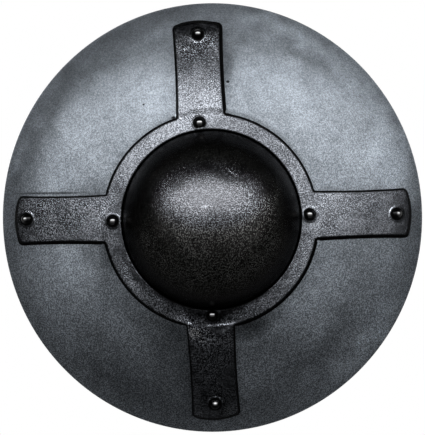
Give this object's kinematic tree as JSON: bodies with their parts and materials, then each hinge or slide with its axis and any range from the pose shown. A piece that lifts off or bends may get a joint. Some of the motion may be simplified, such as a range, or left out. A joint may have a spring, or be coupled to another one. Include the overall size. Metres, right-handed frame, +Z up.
{
  "type": "buckler",
  "caption": "Round domed steel buckler with a raised fist boss, a riveted cross-shaped plate whose ring frames the boss, and a wooden handle on a bar behind the boss.",
  "frame": {"origin": "middle of the handle, on the centre of its steel bar", "axes": "+Z up as the buckler is held, -Y out of the front face through the boss, +X to the right as seen from the front"},
  "size_m": [0.356, 0.1076, 0.364],
  "materials": {
    "dish_steel": "satin grey steel, darkened and rubbed back, fine mottle",
    "boss_black": "satin black, fine leathery grain",
    "plate_dark": "blackened, grained, rubbed to grey on the high spots",
    "rivet_black": "gloss black",
    "bar_steel": "forged, dull",
    "pin_steel": "filed flush",
    "grip_wood": "oiled, dark"
  },
  "bodies": {
    "root": {"dish": "dish_steel", "boss": "boss_black", "cross_plate": "plate_dark", "rivet_inner_top": "rivet_black", "rivet_inner_left": "rivet_black", "rivet_inner_bottom": "rivet_black", "rivet_inner_right": "rivet_black", "rivet_outer_top": "rivet_black", "rivet_outer_left": "rivet_black", "rivet_outer_bottom": "rivet_black", "rivet_outer_right": "rivet_black", "rove_inner_top": "bar_steel", "rove_inner_left": "bar_steel", "rove_inner_bottom": "bar_steel", "rove_inner_right": "bar_steel", "rove_outer_top": "bar_steel", "rove_outer_left": "bar_steel", "rove_outer_bottom": "bar_steel", "rove_outer_right": "bar_steel", "grip_bar": "bar_steel", "grip_scale_front": "grip_wood", "grip_scale_back": "grip_wood", "grip_pin_left": "pin_steel", "grip_pin_middle": "pin_steel", "grip_pin_right": "pin_steel"}
  },
  "joints": []
}
